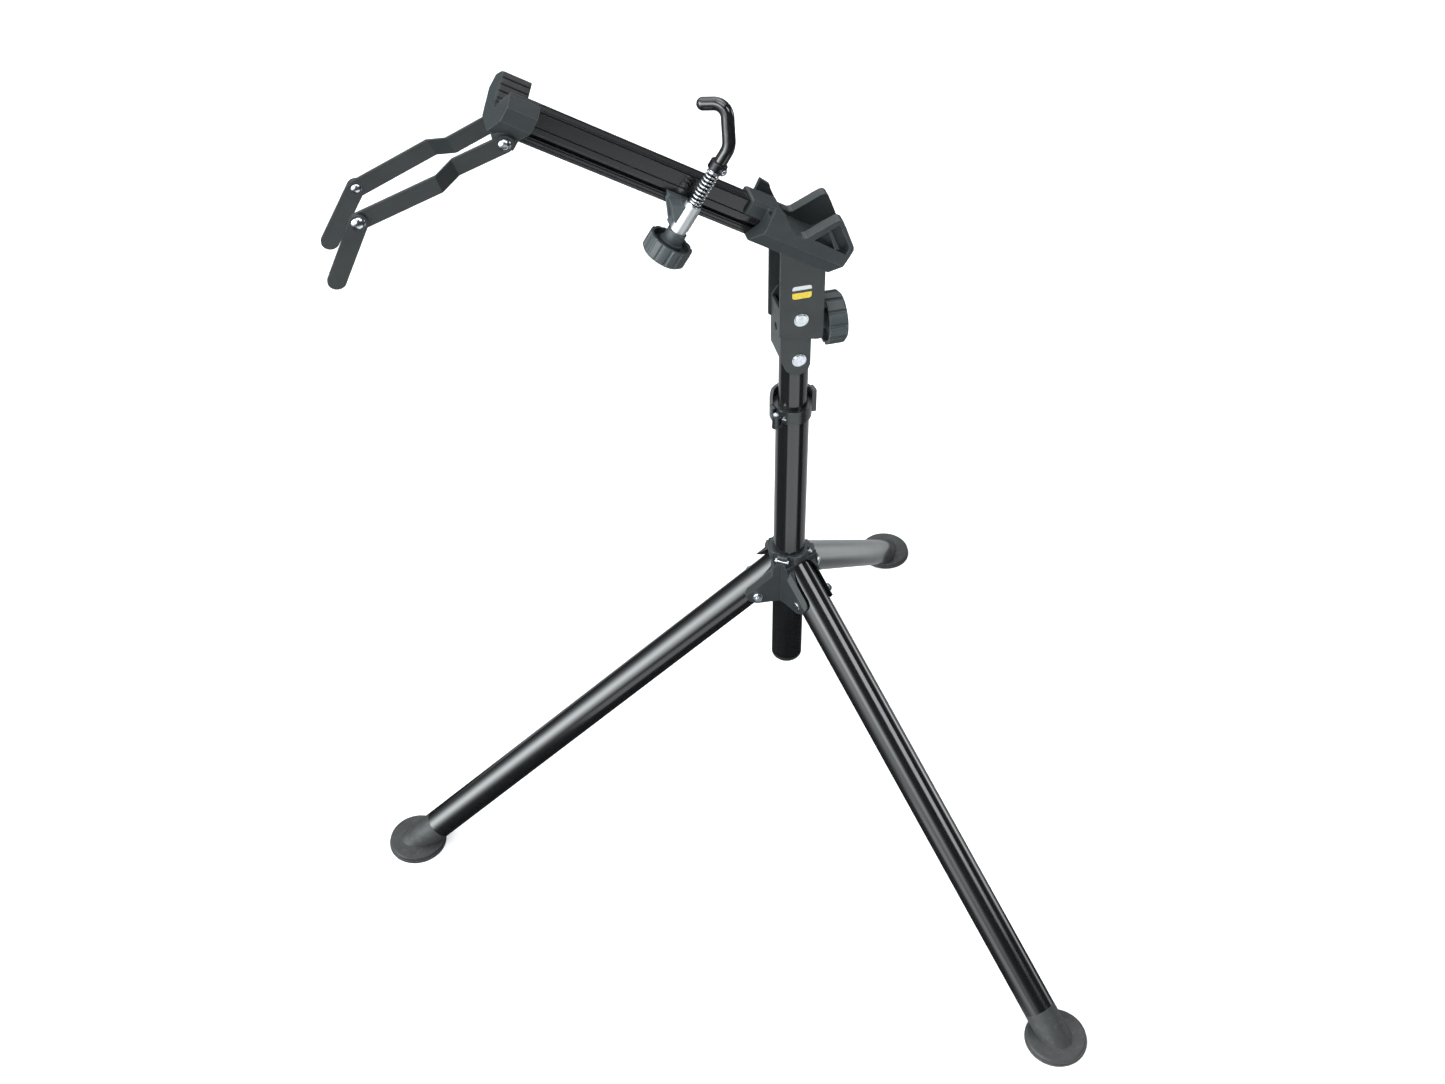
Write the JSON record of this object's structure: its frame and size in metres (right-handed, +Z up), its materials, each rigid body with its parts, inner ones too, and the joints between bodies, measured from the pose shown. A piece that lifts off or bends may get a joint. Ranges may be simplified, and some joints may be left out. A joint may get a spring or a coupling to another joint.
{
  "type": "bike repair stand",
  "caption": "Folding tripod repair stand with telescoping mast, tilting support rail, bottom-bracket cradle, tube saddle with folding guide arms and a sprung clamp hook on a slider",
  "frame": {"origin": "point on the floor under the mast axis", "axes": "+Z up along the mast; -X towards the saddle end of the rail; -Y the side that carries the clamp hook"},
  "size_m": [0.8711, 0.9517, 1.1185],
  "materials": {
    "anodised_black": "gloss black anodised tube",
    "powder_black": "satin black powder coat on steel",
    "collar_black": "black painted cast collar",
    "zinc_steel": "bright zinc plated steel",
    "spring_steel": "bright spring wire",
    "bare_aluminium": "satin turned aluminium",
    "ring_black": "blackened steel ring",
    "moulded_grey": "fine-textured dark grey glass-filled nylon",
    "moulded_black": "black moulded nylon",
    "brass": "brass threaded insert",
    "rubber_black": "moulded rubber",
    "foot_rubber": "moulded rubber foot",
    "vinyl_black": "gloss black vinyl dip"
  },
  "bodies": {
    "base_frame": {"outer_mast_tube": "anodised_black", "mast_bottom_cap": "moulded_black", "hub_segment_a": "moulded_grey", "hub_segment_b": "moulded_grey", "hub_segment_c": "moulded_grey", "hub_clamp_screws": "zinc_steel", "hub_clamp_nuts": "zinc_steel", "leg_pivot_bolts": "zinc_steel", "leg_pivot_washers": "zinc_steel", "leg_pivot_nuts": "zinc_steel", "mast_collar": "collar_black", "collar_screw": "zinc_steel", "collar_pin": "zinc_steel"},
    "lever": {"collar_lever": "collar_black"},
    "leg_a": {"leg_tube_a": "anodised_black", "leg_top_plug_a": "moulded_black", "leg_foot_a": "foot_rubber"},
    "leg_b": {"leg_tube_b": "anodised_black", "leg_top_plug_b": "moulded_black", "leg_foot_b": "foot_rubber"},
    "leg_c": {"leg_tube_c": "anodised_black", "leg_top_plug_c": "moulded_black", "leg_foot_c": "foot_rubber"},
    "sliding_bush": {"guide_bush": "moulded_black"},
    "mast": {"inner_mast_tube": "anodised_black", "mast_head_plug": "moulded_black", "lower_bracket": "powder_black", "bracket_bolts": "zinc_steel", "bracket_nuts": "zinc_steel", "bracket_washers": "zinc_steel", "pivot_spacer": "zinc_steel"},
    "rail_head": {"rail_bracket": "powder_black", "rail_extrusion": "anodised_black", "cradle": "moulded_grey", "cradle_bolts": "zinc_steel", "cradle_nuts": "zinc_steel", "lock_weld_nut": "zinc_steel", "saddle_block": "moulded_grey", "saddle_liners": "rubber_black", "saddle_pin": "zinc_steel", "arm_pivot_bolts": "zinc_steel"},
    "tilt_knob": {"lock_knob": "moulded_grey", "lock_stud": "zinc_steel"},
    "near_arm_body": {"near_arm": "powder_black", "near_arm_rivet": "zinc_steel"},
    "near_tip_body": {"near_arm_tip": "powder_black"},
    "far_arm_body": {"far_arm": "powder_black", "far_arm_rivet": "zinc_steel"},
    "far_tip_body": {"far_arm_tip": "powder_black"},
    "slider": {"hook_slider": "moulded_grey", "slider_sleeve": "bare_aluminium"},
    "hook_swivel": {"spring_seat": "zinc_steel", "hook_spring": "spring_steel"},
    "hook": {"hook_rod": "zinc_steel", "hook_grip": "vinyl_black", "clamp_ring": "ring_black", "clamp_ring_screw": "zinc_steel"},
    "clamp_knob": {"hook_knob": "moulded_grey", "hook_knob_insert": "brass"}
  },
  "joints": [
    {"name": "leg_a_fold", "type": "hinge", "parent": "base_frame", "child": "leg_a", "pos_m": [-0.04254, 0.00357, 0.41223], "axis": [-0.0837, -0.9965, 0], "range_deg": [0, 48.5]},
    {"name": "leg_b_fold", "type": "hinge", "parent": "base_frame", "child": "leg_b", "pos_m": [0.01818, -0.03863, 0.41223], "axis": [0.9048, 0.4258, 0], "range_deg": [0, 48.5]},
    {"name": "leg_c_fold", "type": "hinge", "parent": "base_frame", "child": "leg_c", "pos_m": [0.02436, 0.03506, 0.41223], "axis": [-0.8211, 0.5707, 0], "range_deg": [0, 48.5]},
    {"name": "collar_lever_turn", "type": "hinge", "parent": "base_frame", "child": "lever", "pos_m": [-0.02298, -0.013, 0.6825], "axis": [0, 0, 1], "range_deg": [0, 110]},
    {"name": "mast_slide", "type": "slide", "parent": "base_frame", "child": "sliding_bush", "axis": [0, 0, 1], "range_m": [-0.025, 0.27]},
    {"name": "mast_turn", "type": "hinge", "parent": "sliding_bush", "child": "mast", "pos_m": [0, 0, 0.345], "axis": [0, 0, 1], "continuous": true},
    {"name": "rail_fold", "type": "hinge", "parent": "mast", "child": "rail_head", "pos_m": [0, 0, 0.817], "axis": [0, -1, 0], "range_deg": [0, 70]},
    {"name": "tilt_knob_turn", "type": "hinge", "parent": "rail_head", "child": "tilt_knob", "pos_m": [0.03, 0, 0.797], "axis": [1, 0, 0], "continuous": true},
    {"name": "near_arm_swing", "type": "hinge", "parent": "rail_head", "child": "near_arm_body", "pos_m": [-0.29013, -0.023, 1.06917], "axis": [0, -1, 0], "range_deg": [-51.5, 38.5]},
    {"name": "near_tip_swing", "type": "hinge", "parent": "near_arm_body", "child": "near_tip_body", "pos_m": [-0.43273, -0.041, 1.01951], "axis": [0, -1, 0], "range_deg": [-44, 120]},
    {"name": "far_arm_swing", "type": "hinge", "parent": "rail_head", "child": "far_arm_body", "pos_m": [-0.29013, 0.023, 1.06917], "axis": [0, -1, 0], "range_deg": [-55.7, 34.3]},
    {"name": "far_tip_swing", "type": "hinge", "parent": "far_arm_body", "child": "far_tip_body", "pos_m": [-0.42871, 0.041, 1.0092], "axis": [0, -1, 0], "range_deg": [-35, 120]},
    {"name": "hook_slide", "type": "slide", "parent": "rail_head", "child": "slider", "axis": [0.8453, 0, -0.5344], "range_m": [-0.13, 0.04]},
    {"name": "hook_turn", "type": "hinge", "parent": "slider", "child": "hook_swivel", "pos_m": [-0.11347, -0.0265, 0.97807], "axis": [0.5344, 0, 0.8453], "continuous": true},
    {"name": "hook_lift", "type": "slide", "parent": "hook_swivel", "child": "hook", "axis": [-0.5344, 0, -0.8453], "range_m": [0, 0.012], "deforming": ["hook_spring"]},
    {"name": "clamp_knob_turn", "type": "hinge", "parent": "slider", "child": "clamp_knob", "pos_m": [-0.14019, -0.0265, 0.93581], "axis": [0.5344, 0, 0.8453], "range_deg": [0, 3456]}
  ],
  "couplings": [
    {"joint": "hook_lift", "follows": "clamp_knob_turn", "m_per_rad": 0.00019894}
  ]
}
